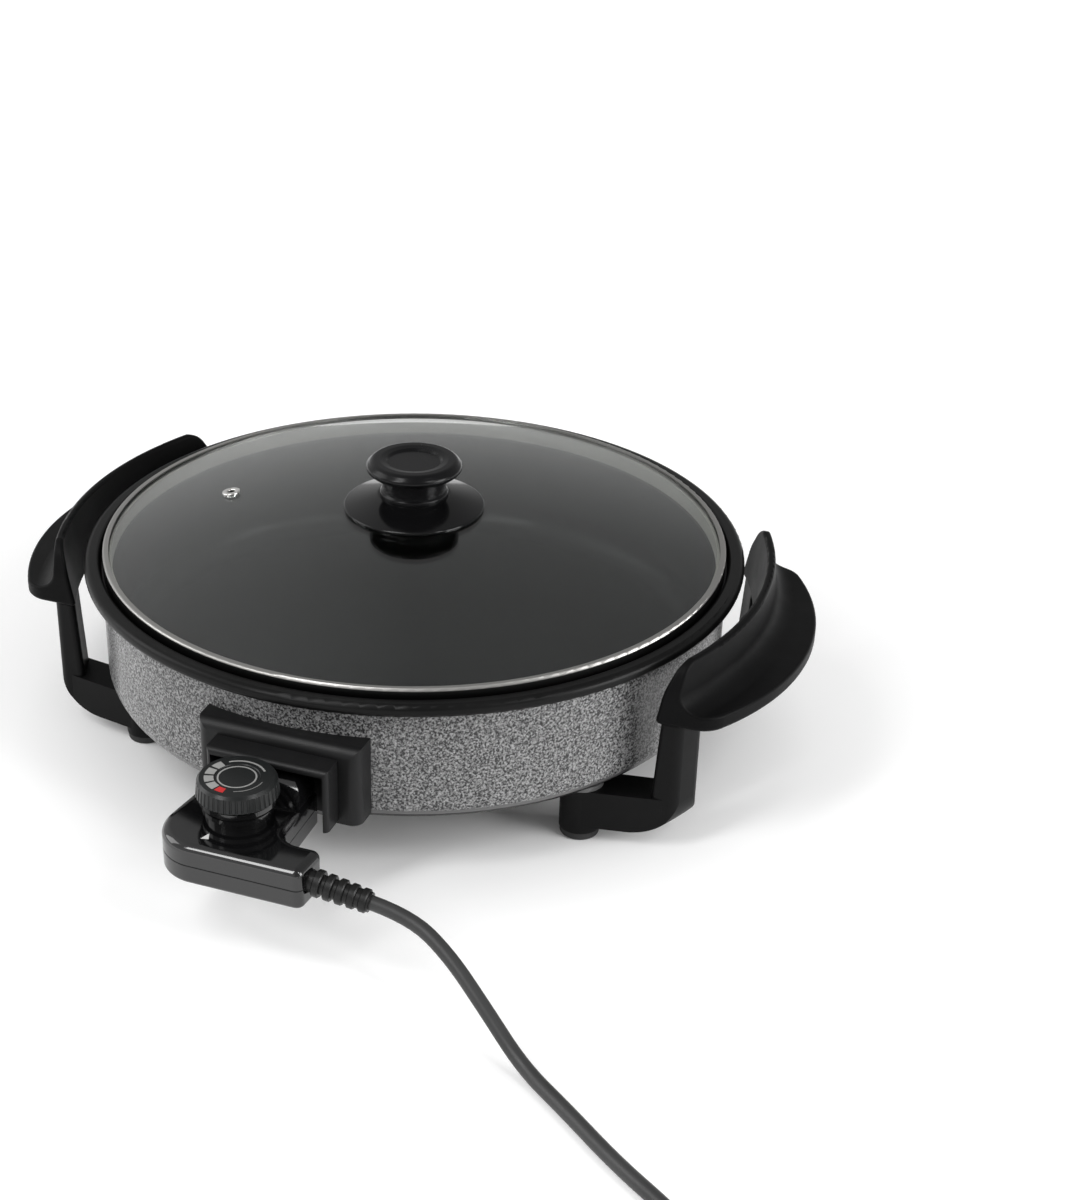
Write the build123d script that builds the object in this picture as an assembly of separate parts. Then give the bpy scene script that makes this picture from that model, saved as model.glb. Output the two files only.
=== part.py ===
"""Round electric frying pan with a glass lid, two moulded handles and a plug-in thermostat.

Millimetres. Origin on the table under the pan's axis, +Z up, +X towards the right handle,
-Y towards the socket and the control.
"""
import math
import os

from build123d import *

# Pan
RIM_Z = 118.0            # top of the lip above the table
LIP_R = 200.0            # lip outside, 400 mm across
LIP_H = 7.0
WALL_R = 189.6
WALL_T = 5.0
BASE_Z = 36.0            # underside of the base
BASE_T = 6.0
LEDGE_Z = RIM_Z - 6.0    # ring-shaped seat for the lid
LEDGE_R = 189.4

# Heating element under the base
ELEMENT_R = 120.0
ELEMENT_TUBE_R = 4.0
ELEMENT_Z = 33.6
ELEMENT_END_X = 11.0
ELEMENT_END_Y = -165.0
ELEMENT_BEND_R = 14.0

# Handles
GUARD_IN_R = 206.6       # inside of the upright guard's foot, about the pan's axis
GUARD_TOP_R = (213.0, 217.6)
GUARD_TOP_Z = 121.5
GUARD_TOP_HALF_Y = 91.0  # the guard's ends slant from here down to the shelf's ends
GUARD_FOOT_R = 220.4
COVE_R = 12.0            # hollow between the guard and the shelf
SHELF_TOP_Z = 93.0
SHELF_T = 9.5
SHELF_HALF_Y = 99.0
SHELF_REACH = 246.0      # half the width over the handles
SHELF_R = 168.0          # curve of the shelf's outer edge
SHELF_CORNER_R = 18.0
SHELF_EDGE_R = (3.0, 1.8)  # round of the lower and of the upper edge
LEG_IN_R = (203.6, 208.0)  # inside of the legs at the arm and under the shelf
LEG_OUT_R = 219.5
LEG_CORNER_R = 6.5
LEG_Y = (73.0, 97.0)
LEG_BEND_R = 22.0
ARM_ROOT_X = (190.0, 197.0)
ARM_Z = (10.0, 34.0)
FOOT_XY = (141.0, 94.0)
FOOT_R = 12.0
FOOT_PAD_H = 5.0
FOOT_SCREW_HEAD_Z = 24.0 # seat of the screw's head inside the post

# Socket shroud on the front wall
HOOD_HALF_X = 48.5
HOOD_FRONT_Y = -200.0
HOOD_BACK_Y = -193.2     # front of the closed back, behind a hollow of 3 mm
HOOD_Z = (44.0, 92.0)
HOOD_SKIN = 4.0
HOOD_ROUND = 6.5
NOZZLE_HALF_X = 36.0
NOZZLE_FRONT_Y = -214.5
NOZZLE_Z = (46.0, 84.5)
NOZZLE_ROUND = 3.0
MOUTH_HALF_X = 33.2
MOUTH_TOP_Z = 80.6
HOOD_SCREW_X = 15.0
HOOD_SCREW_Z = 77.0
BOSS_FRONT_Y = -193.0    # cast boss that carries the terminal pins
BOSS_HALF_X = 24.0
BOSS_TOP_Z = 72.0
PIN_X = 11.0
PIN_Z = 54.0
PIN_R = 2.5

# Lid
GLASS_T = 4.0
GLASS_R = 186.9
GLASS_EDGE_Z = 120.4     # top of the glass at its edge
GLASS_RISE = 22.0
BAND_R = (184.8, 188.4)
BAND_Z = (112.1, 122.2)
COLLAR_R = (182.6, 183.8)  # upright collar of the band, inside the pan's wall
COLLAR_LOW_Z = 105.0
VENT_XY = (-118.0, -10.0)
SKIRT_R = 42.4
KNOB_R = 28.8
KNOB_Z = (149.6, 172.0)
KNOB_UNDER_Z = 163.4     # underside of the knob's head at its neck
NECK_R = 19.4

# Control
BODY_Z = (42.0, 65.5)
PARTING_Z = 53.4
BODY_SKIN = 2.4
BODY_TOP_ROUND = 4.6     # round of the upper half's top edge
BODY_FRONT_Y = -279.0
BODY_LEFT_X = -42.5
BODY_RIGHT_X = (49.5, 51.5)  # at the front corner and at the rear corner
LOBE_R = 24.0
ARM_BACK_Y = -254.0
SHOULDER_XY = (-36.0, -229.0)
NOSE_ROOT_Y = -217.0
NOSE_HALF_X = 24.8
NOSE_END_Y = -203.0
HUMP_HALF_X = 24.2       # raised end of the nose that fills the socket's mouth
HUMP_TOP_Z = 76.5
HUMP_ROUND = 10.5
HUMP_FOOT_Y = -227.0
CLOSING_SCREWS = [(-27.0, -262.0), (33.0, -261.5)]
DIAL_XY = (-3.9, -240.0)
DIAL_R = (22.4, 21.6)    # at the foot and under the face's chamfer
DIAL_Z = (78.2, 88.6)
DIAL_FLUTES = 44
FLUTE_R = 0.75
SPINDLE_R = 3.0
TURRET = [(17.8, 69.8), (19.4, 72.4), (18.4, 74.4), (20.6, 77.2), (16.0, 77.8)]  # steps: radius, top

# Cord, coil and mains plug
CORD_R = 4.0
RELIEF_START = (50.6, -267.5, 54.0)
RELIEF_L = 33.5
RELIEF_TILT = 8.0
RELIEF_RIBS = 5
RELIEF_PITCH = 6.5
RIB_W = 4.0
RIB_R = (7.5, 6.5)       # first and last rib
CORD_ROUTE = [           # corners of the free stretch, from the strain relief to the table
    (106.0, -267.5, 46.2),
    (131.0, -278.5, 37.0),
    (156.0, -293.0, 21.0),
    (182.0, -309.0, 4.0),
    (212.0, -331.0, 4.0),
    (245.0, -357.0, 4.0),
    (281.0, -380.0, 4.0),
]
COIL_CENTRE = (272.0, -455.0)
COIL_OUT_R = 50.0
COIL_PITCH = 10.0
COIL_LAYER = 8.7
COIL_BASE_Z = 5.4
COIL_START_DEG = 15.0
COIL_FLAT_TURNS = 1.25
PLUG_R = 18.3
PLUG_L = 58.0
PLUG_PIN_R = 2.4
PLUG_PIN_L = 19.0

os.makedirs("parts", exist_ok=True)


def save(shape, name):
    """Write one node of the assembly."""
    export_step(shape, f"parts/{name}.step")


def box(x, y, z):
    """Box between pairs of limits."""
    size = (x[1] - x[0], y[1] - y[0], z[1] - z[0])
    centre = ((x[0] + x[1]) / 2, (y[0] + y[1]) / 2, (z[0] + z[1]) / 2)
    return Pos(*centre) * Box(*size)


def rod(radius, z, xy=(0, 0)):
    """Upright cylinder between two heights."""
    return Pos(xy[0], xy[1], (z[0] + z[1]) / 2) * Cylinder(radius, z[1] - z[0])


def rod_y(radius, y, x, z):
    """Cylinder along Y."""
    return Pos(x, (y[0] + y[1]) / 2, z) * Rot(90, 0, 0) * Cylinder(radius, y[1] - y[0])


def rounded(points, rounds=()):
    """Flat face from its corners, some of them rounded."""
    face = make_face(Polyline(points, close=True).edges())
    for corner, radius in rounds:
        nearest = face.vertices().sort_by_distance((corner[0], corner[1], 0))[0]
        face = fillet(nearest, radius)
    return face


def turned(points, rounds=()):
    """Body of revolution about Z from (r, z) corners, some of them rounded."""
    return revolve(Plane.XZ * rounded(points, rounds), axis=Axis.Z)


def four_feet():
    """Places of the four feet, as signs and positions."""
    return [(sx, sy, (sx * FOOT_XY[0], sy * FOOT_XY[1])) for sx in (1, -1) for sy in (1, -1)]


def element_path():
    """Open ring with two ends that turn out towards the socket."""
    bend_x = ELEMENT_END_X + ELEMENT_BEND_R
    reach = ELEMENT_R + ELEMENT_BEND_R
    bend_y = -math.sqrt(reach**2 - bend_x**2)
    touch = (bend_x * ELEMENT_R / reach, bend_y * ELEMENT_R / reach)
    mid_deg = (180 + math.degrees(math.atan2(-bend_y, -bend_x))) / 2
    mid = (
        bend_x + ELEMENT_BEND_R * math.cos(math.radians(mid_deg)),
        bend_y + ELEMENT_BEND_R * math.sin(math.radians(mid_deg)),
    )
    edges = [
        Line((ELEMENT_END_X, ELEMENT_END_Y), (ELEMENT_END_X, bend_y)),
        ThreePointArc((ELEMENT_END_X, bend_y), mid, touch),
        ThreePointArc(touch, (0, ELEMENT_R), (-touch[0], touch[1])),
        ThreePointArc((-touch[0], touch[1]), (-mid[0], mid[1]), (-ELEMENT_END_X, bend_y)),
        Line((-ELEMENT_END_X, bend_y), (-ELEMENT_END_X, ELEMENT_END_Y)),
    ]
    return Pos(0, 0, ELEMENT_Z) * Wire([e for part in edges for e in part.edges()])


def element_tube(radius):
    """Round tube along the element's path."""
    path = element_path()
    start = Plane((ELEMENT_END_X, ELEMENT_END_Y, ELEMENT_Z), z_dir=(0, 1, 0))
    return sweep(start * Circle(radius), path=path)


def pan_shell():
    """Cast pan with its lip, seat for the lid, foot pads and terminal boss."""
    inner_r = WALL_R - WALL_T
    floor_z = BASE_Z + BASE_T
    lip_low = RIM_Z - LIP_H
    outline = [
        (0, BASE_Z),
        (WALL_R, BASE_Z),
        (WALL_R, lip_low - 1.5),
        (LIP_R, lip_low),
        (LIP_R - 0.4, RIM_Z),
        (LEDGE_R + 1.2, RIM_Z),
        (LEDGE_R, LEDGE_Z),
        (inner_r, LEDGE_Z),
        (inner_r, floor_z),
        (0, floor_z),
    ]
    rounds = [
        (outline[1], 14.0),
        (outline[2], 1.5),
        (outline[3], 2.8),
        (outline[4], 3.6),
        (outline[5], 2.4),
        (outline[7], 1.2),
        (outline[8], 16.0),
    ]
    pan = turned(outline, rounds)
    for _, _, place in four_feet():
        pan += rod(FOOT_R + 1, (ARM_Z[1], BASE_Z + 1), place)
    pan += box((-BOSS_HALF_X, BOSS_HALF_X), (BOSS_FRONT_Y, -187), (HOOD_Z[0], BOSS_TOP_Z))
    pan += box((-18, 18), (ELEMENT_END_Y - 10, ELEMENT_END_Y), (29, BASE_Z + 1))
    pan -= element_tube(ELEMENT_TUBE_R + 0.05)
    for _, _, place in four_feet():
        pan -= rod(2.0, (ARM_Z[1] - 1, BASE_Z + 3), place)
    for x in (-HOOD_SCREW_X, HOOD_SCREW_X):
        pan -= rod_y(1.95, (-195, -186.4), x, HOOD_SCREW_Z)
    return pan


def handle_grip():
    """Shelf that a cove sweeps up into the guard along its inner edge."""
    low = SHELF_TOP_Z - SHELF_T
    plan = Pos(SHELF_REACH - SHELF_R, 0) * Circle(SHELF_R) & Pos(230, 0) * Rectangle(140, 2 * SHELF_HALF_Y)
    plan -= Circle(GUARD_IN_R)
    plan = fillet(plan.vertices().sort_by(Axis.X)[-2:], SHELF_CORNER_R)
    section = [
        (GUARD_IN_R, low),
        (GUARD_TOP_R[0], GUARD_TOP_Z),
        (GUARD_TOP_R[1], GUARD_TOP_Z),
        (GUARD_FOOT_R, SHELF_TOP_Z),
        (SHELF_REACH + 10, SHELF_TOP_Z),
        (SHELF_REACH + 10, low),
    ]
    ring = turned(section, [(section[1], 2.0), (section[2], 2.2), (section[3], COVE_R)])
    ends = [
        (SHELF_HALF_Y, 0),
        (SHELF_HALF_Y, SHELF_TOP_Z + 11),
        (GUARD_TOP_HALF_Y, GUARD_TOP_Z + 0.2),
    ]
    window = rounded(
        ends + [(-y, z) for y, z in reversed(ends)],
        [((side * y, z), radius) for side in (1, -1) for (y, z), radius in zip(ends[1:], (20, 14))],
    )
    grip = ring & Pos(0, 0, low) * extrude(plan, GUARD_TOP_Z, dir=(0, 0, 1))
    grip &= Pos(150, 0, 0) * extrude(Plane.YZ * window, 150, dir=(1, 0, 0))
    for z, radius in zip((low, SHELF_TOP_Z), SHELF_EDGE_R):
        outer = grip.edges().sort_by_distance((SHELF_REACH, 0, z))[0]
        grip = fillet(outer, radius)
    return grip


def handle_limb(end):
    """Leg under one end of the shelf, bent into an arm that ends in a foot post."""
    top = SHELF_TOP_Z - SHELF_EDGE_R[0] - 1
    mid_y = end * (LEG_Y[0] + LEG_Y[1]) / 2
    plan = Circle(LEG_OUT_R) & Pos(195, mid_y) * Rectangle(60, LEG_Y[1] - LEG_Y[0])
    plan = fillet(plan.vertices().sort_by(Axis.X)[-2:], LEG_CORNER_R)
    taper = [(LEG_IN_R[0], ARM_Z[0]), (LEG_OUT_R, ARM_Z[0]), (LEG_OUT_R, top), (LEG_IN_R[1], top)]
    leg = extrude(plan, top, dir=(0, 0, 1)) & turned(taper)
    inside = [e for e in leg.edges() if e.geom_type == GeomType.HYPERBOLA]
    leg = fillet(inside, 3.0)
    fx, fy = FOOT_XY
    strap = [(fx, fy + FOOT_R), (ARM_ROOT_X[0], LEG_Y[1]), (ARM_ROOT_X[1], LEG_Y[0]), (fx, fy - FOOT_R)]
    strap = rounded([(x, end * y) for x, y in strap])
    arm = Pos(0, 0, ARM_Z[0]) * extrude(strap, ARM_Z[1] - ARM_Z[0], dir=(0, 0, 1))
    bend = turned(
        [(0, ARM_Z[0]), (LEG_OUT_R, ARM_Z[0]), (LEG_OUT_R, RIM_Z), (0, RIM_Z)],
        [((LEG_OUT_R, ARM_Z[0]), LEG_BEND_R)],
    )
    limb = (leg + arm) & bend
    limb += rod(FOOT_R, (FOOT_PAD_H, ARM_Z[1]), (fx, end * fy))
    limb -= rod(2.3, (0, 40), (fx, end * fy))
    return limb - rod(5.2, (0, FOOT_SCREW_HEAD_Z), (fx, end * fy))


def handle(side):
    """Moulded handle: guard, shelf, two legs and two arms with foot posts."""
    piece = handle_grip() + handle_limb(1) + handle_limb(-1)
    return piece if side > 0 else piece.mirror(Plane.YZ)


def foot_pad(place):
    """Rubber foot with a stem that plugs the screw's counterbore."""
    pad = rod(FOOT_R - 0.6, (0, FOOT_PAD_H), place)
    pad = fillet(pad.edges().sort_by(Axis.Z)[0], 1.6)
    return pad + rod(5.0, (FOOT_PAD_H, 14), place)


def handle_screws():
    """Four screws up through the foot posts into the base."""
    screws = []
    for _, _, place in four_feet():
        head = rod(4.6, (FOOT_SCREW_HEAD_Z - 3, FOOT_SCREW_HEAD_Z), place)
        screws.append(head + rod(1.95, (FOOT_SCREW_HEAD_Z, BASE_Z + 2.5), place))
    return Compound(children=screws)


def front_rounded(block, front_y, low_z, radius):
    """Block with the side and top edges of its front rounded."""
    front = [e for e in block.edges() if e.center().Y < front_y + 0.1]
    return fillet([e for e in front if e.center().Z > low_z + 0.1], radius)


def socket_shroud():
    """Stepped hood over the terminals, open at the front and below, closed behind."""
    hood = box((-HOOD_HALF_X, HOOD_HALF_X), (HOOD_FRONT_Y, -170), HOOD_Z)
    hood = front_rounded(hood, HOOD_FRONT_Y, HOOD_Z[0], HOOD_ROUND)
    nozzle = box((-NOZZLE_HALF_X, NOZZLE_HALF_X), (NOZZLE_FRONT_Y, HOOD_FRONT_Y + 2), NOZZLE_Z)
    body = hood + front_rounded(nozzle, NOZZLE_FRONT_Y, NOZZLE_Z[0], NOZZLE_ROUND)
    room_x = HOOD_HALF_X - HOOD_SKIN
    room_z = HOOD_Z[1] - HOOD_SKIN
    body -= box((-room_x, room_x), (HOOD_FRONT_Y + 3.6, -160), (0, room_z))
    body -= box((-MOUTH_HALF_X, MOUTH_HALF_X), (-230, -160), (0, MOUTH_TOP_Z))
    body += box((-room_x - 1, room_x + 1), (HOOD_BACK_Y, -170), (HOOD_Z[0], room_z + 1))
    body -= box((-BOSS_HALF_X - 0.3, BOSS_HALF_X + 0.3), (-195, -170), (0, BOSS_TOP_Z + 0.3))
    for x in (-HOOD_SCREW_X, HOOD_SCREW_X):
        body -= rod_y(2.1, (HOOD_FRONT_Y, -170), x, HOOD_SCREW_Z)
    return body - rod(WALL_R + 0.05, (0, 200))


def shroud_screws():
    """Two screws through the hood's back into the pan's wall."""
    screws = []
    for x in (-HOOD_SCREW_X, HOOD_SCREW_X):
        head = rod_y(3.4, (HOOD_BACK_Y - 2.4, HOOD_BACK_Y), x, HOOD_SCREW_Z)
        screws.append(head + rod_y(1.85, (HOOD_BACK_Y, -186.6), x, HOOD_SCREW_Z))
    return Compound(children=screws)


def terminal_pin(side):
    """Cold pin of the heating element."""
    pin = rod_y(PIN_R, (-209, BOSS_FRONT_Y), side * PIN_X, PIN_Z)
    return chamfer(pin.edges().sort_by(Axis.Y)[0], 0.8)


def earth_blade():
    """Flat earth contact above the control's nose."""
    blade = box((-5, 5), (-207, BOSS_FRONT_Y), (67, 68))
    return fillet(blade.edges().filter_by(Axis.Z).sort_by(Axis.Y)[:2], 3)


def dome(rise_z):
    """Ball whose cap is the glass surface through a given top height."""
    radius = (GLASS_R**2 + GLASS_RISE**2) / (2 * GLASS_RISE)
    return Pos(0, 0, rise_z - radius) * Sphere(radius)


def dome_top_z(r):
    """Height of the glass's upper face at a distance from the axis."""
    radius = (GLASS_R**2 + GLASS_RISE**2) / (2 * GLASS_RISE)
    return GLASS_EDGE_Z + GLASS_RISE - radius + math.sqrt(radius**2 - r**2)


def vent_plane():
    """Plane on the glass at the steam vent, square to its surface."""
    radius = (GLASS_R**2 + GLASS_RISE**2) / (2 * GLASS_RISE)
    x, y = VENT_XY
    normal = (x, y, math.sqrt(radius**2 - x**2 - y**2))
    return Plane((x, y, dome_top_z(math.hypot(x, y))), z_dir=normal)


def lid_glass():
    """Shallow glass dome with holes for the knob's screw and the steam vent."""
    top = GLASS_EDGE_Z + GLASS_RISE
    disc = rod(GLASS_R, (GLASS_EDGE_Z - GLASS_T - 0.3, top + 5))
    glass = (disc & dome(top)) - dome(top - GLASS_T)
    glass -= rod(3.2, (0, 300))
    return glass - vent_plane() * Cylinder(3.6, 20)


def lid_rim():
    """Rolled steel band that grips the edge of the glass, with a collar down inside the pan."""
    groove_z = GLASS_EDGE_Z - GLASS_T - 0.4
    outline = [
        (COLLAR_R[0], COLLAR_LOW_Z),
        (COLLAR_R[1], COLLAR_LOW_Z),
        (COLLAR_R[1], BAND_Z[0]),
        (BAND_R[1], BAND_Z[0]),
        (BAND_R[1], BAND_Z[1]),
        (BAND_R[0], BAND_Z[1]),
        (BAND_R[0], groove_z),
        (COLLAR_R[0], groove_z),
    ]
    ring = turned(outline, [(outline[3], 0.8), (outline[4], 1.3)])
    groove_r = GLASS_R + 0.2
    groove = [
        (BAND_R[0] - 1, groove_z),
        (groove_r, groove_z),
        (groove_r, GLASS_EDGE_Z + 0.2),
        (BAND_R[0] - 1, GLASS_EDGE_Z + 1),
    ]
    return ring - turned(groove)


def steam_vent():
    """Eyelet pressed through the glass."""
    under, above = -GLASS_T - 0.1, 0.05
    outline = [
        (2.4, under - 1.1),
        (5.2, under - 1.1),
        (5.2, under),
        (3.5, under),
        (3.5, above),
        (5.6, above),
        (5.6, above + 1.05),
        (2.4, above + 1.05),
    ]
    return vent_plane() * turned(outline, [(outline[6], 0.7), (outline[7], 0.7)])


def knob_skirt():
    """Flared splash plate between the knob and the glass."""
    rim_z = dome_top_z(SKIRT_R) + 0.15
    seat_z = dome_top_z(0) + 0.05
    outline = [
        (2.7, seat_z),
        (10, seat_z),
        (12, 146.6),
        (20, 146.0),
        (SKIRT_R - 2.5, rim_z),
        (SKIRT_R, rim_z),
        (SKIRT_R, rim_z + 1.6),
        (22, KNOB_Z[0]),
        (2.7, KNOB_Z[0]),
    ]
    return turned(outline, [(outline[6], 1.0), (outline[7], 3.0)])


def lid_knob():
    """Mushroom knob with a flared foot, a rolled rim and a dished top."""
    low, top = KNOB_Z
    bore_r = 2.45
    outline = [
        (bore_r, low),
        (NECK_R + 1.2, low),
        (NECK_R + 1.2, low + 2.2),
        (NECK_R, low + 3.4),
        (NECK_R, KNOB_UNDER_Z),
        (KNOB_R - 2.4, KNOB_UNDER_Z + 0.8),
        (KNOB_R, KNOB_UNDER_Z + 2.8),
        (KNOB_R, KNOB_UNDER_Z + 5.2),
        (KNOB_R - 3.3, top),
        (20.5, top),
        (17.0, top - 0.6),
        (15.6, top - 1.8),
        (0, top - 1.8),
        (0, 163),
        (bore_r, 163),
    ]
    rounds = zip(outline[4:10], (2.2, 3.0, 2.0, 3.0, 4.0, 3.0))
    return turned(outline, [(outline[2], 0.9), *rounds])


def knob_washer():
    """Washer under the glass, dished to its curve."""
    low = dome_top_z(0) - GLASS_T
    return turned([(2.8, low - 2.4), (13, low - 2.4), (13, low - 0.2), (2.8, low - 0.2)])


def knob_screw():
    """Screw from below, through washer, glass and skirt into the knob."""
    seat = dome_top_z(0) - GLASS_T - 2.4
    head = turned([(0, seat - 3), (3.6, seat - 3), (5.4, seat), (0, seat)])
    return head + rod(2.4, (seat, 160))


def body_plan(inset=0.0):
    """Outline of the control: rounded lobe, arm to the right and nose into the socket."""
    arm_front = (BODY_RIGHT_X[0], BODY_FRONT_Y)
    arm_back = (BODY_RIGHT_X[1], ARM_BACK_Y)
    lobe = (BODY_LEFT_X, BODY_FRONT_Y)
    crook = (NOSE_HALF_X + 1, ARM_BACK_Y)
    nose_root = (-NOSE_HALF_X, NOSE_ROOT_Y)
    nose_end = [(NOSE_HALF_X, NOSE_END_Y), (-NOSE_HALF_X, NOSE_END_Y)]
    corners = [lobe, arm_front, arm_back, crook, *nose_end, nose_root, SHOULDER_XY]
    rounds = [(lobe, LOBE_R), (arm_front, 4.8), (arm_back, 4.8)]
    rounds += [(crook, 12), (nose_root, 5), (SHOULDER_XY, 6)]
    face = rounded(corners, rounds)
    return offset(face, -inset) if inset else face


def relief_axis():
    """Plane at the cord's exit from the control, its Z along the strain relief."""
    tilt = math.radians(RELIEF_TILT)
    return Plane(RELIEF_START, x_dir=(0, 1, 0), z_dir=(math.cos(tilt), 0, -math.sin(tilt)))


def housing_half(z, outer_z, edge_r):
    """Hollow half of the housing between two heights, closed and rounded at its outer height."""
    shell = Pos(0, 0, z[0]) * extrude(body_plan(), z[1] - z[0], dir=(0, 0, 1))
    by_height = shell.faces().sort_by(Axis.Z)
    closed, parting = (by_height[-1], by_height[0]) if outer_z == z[1] else (by_height[0], by_height[-1])
    shell = fillet(closed.edges(), edge_r)
    parting = shell.faces().filter_by(Plane.XY).sort_by_distance((*DIAL_XY, parting.center().Z))[0]
    shell = chamfer(parting.edges(), 0.25)
    room_z = z[0] + BODY_SKIN if outer_z == z[0] else z[0] - BODY_SKIN
    return shell - Pos(0, 0, room_z) * extrude(body_plan(BODY_SKIN), z[1] - z[0], dir=(0, 0, 1))


def nose_hump():
    """Arched top of the nose's end, sloped up from behind the dial, slotted for the earth blade."""
    low = BODY_Z[1] - 1
    crown = [(HUMP_HALF_X, HUMP_TOP_Z), (-HUMP_HALF_X, HUMP_TOP_Z)]
    arch = rounded([(-HUMP_HALF_X, low), (HUMP_HALF_X, low), *crown], [(c, HUMP_ROUND) for c in crown])
    brow = (HUMP_FOOT_Y + 11, HUMP_TOP_Z)
    slope = [(HUMP_FOOT_Y, low), (NOSE_END_Y, low), (NOSE_END_Y, HUMP_TOP_Z), brow]
    slope = rounded(slope, [(brow, 12)])
    hump = Pos(0, NOSE_END_Y, 0) * extrude(Plane.XZ * arch, NOSE_END_Y - HUMP_FOOT_Y, dir=(0, -1, 0))
    hump &= Pos(-HUMP_HALF_X, 0, 0) * extrude(Plane.YZ * slope, 2 * HUMP_HALF_X, dir=(1, 0, 0))
    return hump - box((-6, 6), (-210, -200), (66.2, 69))


def housing_openings(half):
    """Half of the housing with the cord's outlet and the nose's open end cut."""
    half -= relief_axis() * Cylinder(6.2, 12)
    return half - box((-19.4, 19.4), (-207, -200), (46, 61))


def control_upper():
    """Upper half of the control's housing, with the stepped turret under the dial."""
    low, top = PARTING_Z, BODY_Z[1]
    shell = housing_half((low, top), top, BODY_TOP_ROUND)
    foot_z = top - 0.5
    for radius, step_z in TURRET:
        shell += rod(radius, (foot_z, step_z), DIAL_XY)
        foot_z = step_z
    shell += nose_hump()
    shell -= rod(SPINDLE_R + 0.3, (0, 100), DIAL_XY)
    for place in CLOSING_SCREWS:
        shell += rod(4, (low, top - 1), place)
        shell -= rod(1.4, (0, 61), place)
    return housing_openings(shell)


def control_lower():
    """Lower half of the control's housing, with recessed screw posts."""
    low, top = BODY_Z[0], PARTING_Z
    shell = housing_half((low, top), low, 2.4)
    for place in CLOSING_SCREWS:
        shell += rod(4, (low + 1, top), place)
        shell -= rod(1.6, (0, 61), place)
        shell -= rod(3, (0, low + 3.2), place)
    return housing_openings(shell)


def control_screws():
    """Two screws that close the housing."""
    seat_z = BODY_Z[0] + 3.2
    screws = []
    for place in CLOSING_SCREWS:
        screws.append(rod(2.7, (BODY_Z[0] + 1, seat_z), place) + rod(1.35, (seat_z, 60), place))
    return Compound(children=screws)


def contact_block():
    """Insulating block in the nose, bored for the contact sleeves and the sensor."""
    block = box((-20.4, 20.4), (-222, -205.6), (45, 62.6))
    for x in (-PIN_X, PIN_X):
        block -= rod_y(3.65, (-230, -200), x, PIN_Z)
    return block - rod_y(3.55, (-230, -200), 0, PIN_Z)


def contact_sleeve(side):
    """Split sleeve that takes a terminal pin."""
    sleeve = rod_y(3.6, (-221, -206), side * PIN_X, PIN_Z) - rod_y(2.9, (-225, -200), side * PIN_X, PIN_Z)
    return sleeve - box((side * PIN_X - 0.4, side * PIN_X + 0.4), (-217, -200), (PIN_Z, PIN_Z + 5))


def sensor_stem():
    """Temperature sensor that meets the pan's cast boss."""
    stem = rod_y(3.5, (-226, BOSS_FRONT_Y - 0.5), 0, PIN_Z)
    return fillet(stem.edges().sort_by(Axis.Y)[-1], 1.2)


def thermostat_body():
    """Switch block under the dial."""
    return box((-22, 13), (-257, -227), (44.4, 60))


def strain_relief():
    """Tapered sleeve with thick ribs, its flange inside the housing."""
    core_r, bevel = 5.4, 0.6
    points = [(0, -7.6), (7, -7.6), (7, -5), (5.9, -5), (5.9, 2)]
    for i in range(RELIEF_RIBS):
        z = 2.2 + i * RELIEF_PITCH
        crown = RIB_R[0] + (RIB_R[1] - RIB_R[0]) * i / (RELIEF_RIBS - 1)
        points += [(core_r, z), (crown - bevel, z), (crown, z + bevel)]
        points += [(crown, z + RIB_W - bevel), (crown - bevel, z + RIB_W), (core_r, z + RIB_W)]
    points += [(core_r, RELIEF_L), (0, RELIEF_L)]
    return relief_axis() * turned(points)


def relief_end():
    """Point where the cord leaves the strain relief."""
    return relief_axis().origin + relief_axis().z_dir * RELIEF_L


def coil_point(turn):
    """Point of the coil's centreline after a number of turns from its start."""
    climb_end = COIL_FLAT_TURNS + 0.5
    inner_r = COIL_OUT_R - COIL_PITCH * COIL_FLAT_TURNS
    if turn <= COIL_FLAT_TURNS:
        radius, z = COIL_OUT_R - COIL_PITCH * turn, COIL_BASE_Z
    elif turn <= climb_end:
        share = (turn - COIL_FLAT_TURNS) / 0.5
        radius, z = inner_r, COIL_BASE_Z + COIL_LAYER * share * share * (3 - 2 * share)
    else:
        radius, z = inner_r + COIL_PITCH * (turn - climb_end), COIL_BASE_Z + COIL_LAYER
        share = max(0.0, (turn - climb_end - COIL_FLAT_TURNS + 0.5) / 0.5)
        z += (PLUG_R + 0.1 - COIL_BASE_Z - COIL_LAYER) * share * share * (3 - 2 * share)
    angle = math.radians(COIL_START_DEG) - 2 * math.pi * turn
    return Vector(COIL_CENTRE[0] + radius * math.cos(angle), COIL_CENTRE[1] + radius * math.sin(angle), z)


def coil_tangent(turn):
    """Direction of the coil's centreline, level at both ends."""
    total = 2 * COIL_FLAT_TURNS + 0.5
    step = 0.001
    before, after = max(0.0, turn - step), min(total, turn + step)
    return (coil_point(after) - coil_point(before)).normalized()


def biarc(start, start_dir, end, end_dir):
    """Two arcs that join two points and keep their directions."""
    chord = end - start
    total_dir = start_dir + end_dir
    denom = 2 * (1 - start_dir.dot(end_dir))
    along = chord.dot(total_dir)
    reach = (-along + math.sqrt(along**2 + denom * chord.dot(chord))) / denom
    near = start + start_dir * reach
    far = end - end_dir * reach
    joint = (near + far) * 0.5
    return [TangentArc(start, joint, tangent=start_dir), TangentArc(joint, end, tangent=far - near)]


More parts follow.
